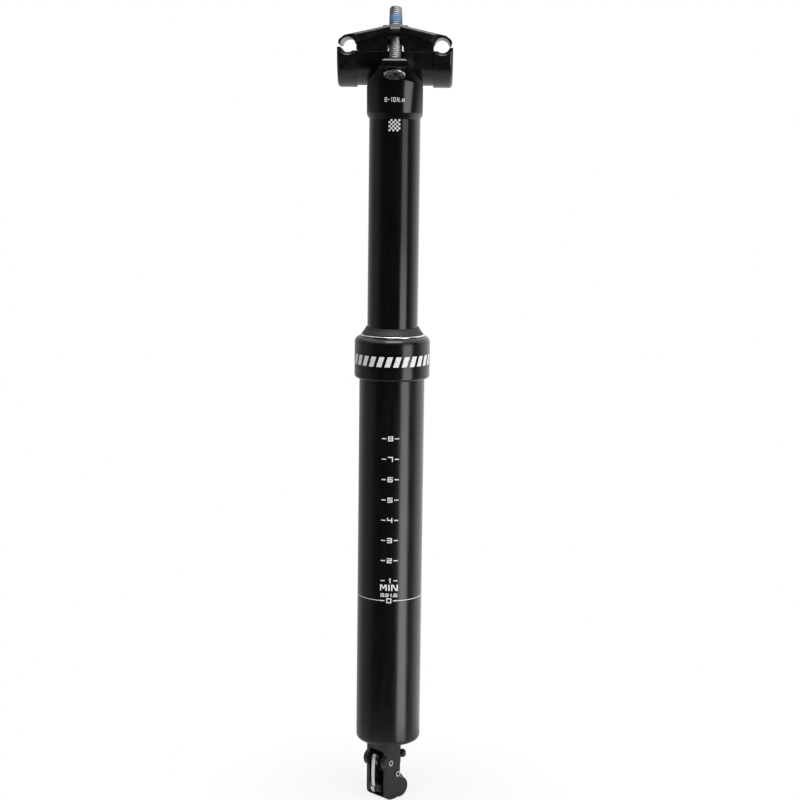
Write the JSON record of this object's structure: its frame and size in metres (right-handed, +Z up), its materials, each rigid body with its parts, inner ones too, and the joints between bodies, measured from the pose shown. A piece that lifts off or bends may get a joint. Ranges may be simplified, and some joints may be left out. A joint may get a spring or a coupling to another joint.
{
  "type": "dropper seatpost",
  "caption": "Telescoping bicycle seatpost with a gas cartridge, collar and wiper, tilting two-bolt rail clamp and cable lever at its foot.",
  "frame": {"origin": "on the post's axis, at the collar's underside, where the post meets the bicycle frame", "axes": "+Z up the post to the saddle, X across the saddle rails, -Y to the front with the printed scale"},
  "size_m": [0.054, 0.0564, 0.3885],
  "materials": {
    "tube_black": "satin black anodised",
    "collar_black": "satin black anodised",
    "stanchion_black": "polished black anodised",
    "clamp_black": "satin black anodised forging",
    "foot_black": "matt black anodised",
    "seal_rubber": "moulded rubber",
    "bush_plastic": "self-lubricating plastic",
    "ring_steel": "bright spring steel",
    "bolt_steel": "plated steel",
    "dark_steel": "black oxide steel",
    "rod_chrome": "hard chrome",
    "lever_polished": "polished steel",
    "key_brass": "drawn brass",
    "bare_aluminium": "turned aluminium"
  },
  "bodies": {
    "outer": {"outer_tube": "tube_black", "collar": "collar_black", "collar_oring": "seal_rubber", "upper_bushing": "bush_plastic", "wiper_seal": "seal_rubber", "wiper_ring": "ring_steel", "cartridge_rod": "rod_chrome", "rod_nut": "bolt_steel", "main_piston": "bare_aluminium", "piston_seal": "seal_rubber", "actuator_body": "foot_black", "lever_pivot_pin": "bolt_steel", "stop_pin": "bolt_steel", "housing_ferrule": "foot_black", "fixing_screw": "foot_black", "return_spring": "dark_steel"},
    "post": {"stanchion": "stanchion_black", "lower_bushing": "bush_plastic", "guide_keys": "key_brass", "cartridge_body": "bare_aluminium", "cartridge_gland": "bare_aluminium", "rod_seal": "seal_rubber", "cartridge_cap": "bare_aluminium", "topout_bumper": "seal_rubber"},
    "floating_piston": {"floating_piston": "bare_aluminium", "floating_seal": "seal_rubber"},
    "clamp": {"cradle": "clamp_black", "yoke": "clamp_black"},
    "front_swivel": {"front_washer": "bolt_steel"},
    "front_bolt": {"front_bolt": "bolt_steel"},
    "rear_swivel": {"rear_washer": "bolt_steel"},
    "rear_bolt": {"rear_bolt": "bolt_steel"},
    "front_nut": {"front_barrel_nut": "dark_steel"},
    "rear_nut": {"rear_barrel_nut": "dark_steel"},
    "lever": {"actuator_lever": "lever_polished"},
    "cable_barrel": {"cable_barrel": "dark_steel", "barrel_screw": "dark_steel"},
    "valve": {"valve_pin": "rod_chrome"}
  },
  "joints": [
    {"name": "post_travel", "type": "slide", "parent": "outer", "child": "post", "axis": [0, 0, -1], "range_m": [0, 0.098], "stiffness_N_per_m": 150, "springref_m": -0.3},
    {"name": "floating_piston_slide", "type": "slide", "parent": "post", "child": "floating_piston", "axis": [0, 0, 1], "range_m": [0, 0.022]},
    {"name": "saddle_tilt", "type": "hinge", "parent": "post", "child": "clamp", "pos_m": [0, 0, 0.158], "axis": [1, 0, 0], "range_deg": [-10, 10]},
    {"name": "front_swivel_rock", "type": "hinge", "parent": "post", "child": "front_swivel", "pos_m": [0, -0.02465, 0.13839], "axis": [1, 0, 0], "range_deg": [-1, 1]},
    {"name": "front_bolt_turn", "type": "hinge", "parent": "front_swivel", "child": "front_bolt", "pos_m": [0, -0.02465, 0.13839], "axis": [0, 0.4226, 0.9063], "continuous": true},
    {"name": "rear_swivel_rock", "type": "hinge", "parent": "post", "child": "rear_swivel", "pos_m": [0, 0.02465, 0.13839], "axis": [1, 0, 0], "range_deg": [-1, 1]},
    {"name": "rear_bolt_turn", "type": "hinge", "parent": "rear_swivel", "child": "rear_bolt", "pos_m": [0, 0.02465, 0.13839], "axis": [0, -0.4226, 0.9063], "continuous": true},
    {"name": "front_nut_rock", "type": "hinge", "parent": "clamp", "child": "front_nut", "pos_m": [0, -0.01307, 0.1632], "axis": [1, 0, 0], "range_deg": [-14, 14]},
    {"name": "rear_nut_rock", "type": "hinge", "parent": "clamp", "child": "rear_nut", "pos_m": [0, 0.01307, 0.1632], "axis": [1, 0, 0], "range_deg": [-14, 14]},
    {"name": "lever_swing", "type": "hinge", "parent": "outer", "child": "lever", "pos_m": [-0.00368, -0.00368, -0.1926], "axis": [0.7071, -0.7071, 0], "range_deg": [0, 12], "stiffness_Nm_per_rad": 0.25, "springref_deg": -22.92},
    {"name": "barrel_rock", "type": "hinge", "parent": "lever", "child": "cable_barrel", "pos_m": [-0.00488, -0.00488, -0.2068], "axis": [0.7071, -0.7071, 0], "range_deg": [-18, 0]},
    {"name": "valve_lift", "type": "slide", "parent": "outer", "child": "valve", "axis": [0, 0, 1], "range_m": [0, 0.0011]}
  ],
  "couplings": [
    {"joint": "floating_piston_slide", "follows": "post_travel", "ratio": 0.2225},
    {"joint": "front_swivel_rock", "follows": "saddle_tilt", "ratio": -0.032267},
    {"joint": "rear_swivel_rock", "follows": "saddle_tilt", "ratio": -0.032267},
    {"joint": "front_nut_rock", "follows": "saddle_tilt", "ratio": -1.0323},
    {"joint": "rear_nut_rock", "follows": "saddle_tilt", "ratio": -1.0323},
    {"joint": "barrel_rock", "follows": "lever_swing", "ratio": -1},
    {"joint": "valve_lift", "follows": "lever_swing", "m_per_rad": 0.0052}
  ]
}
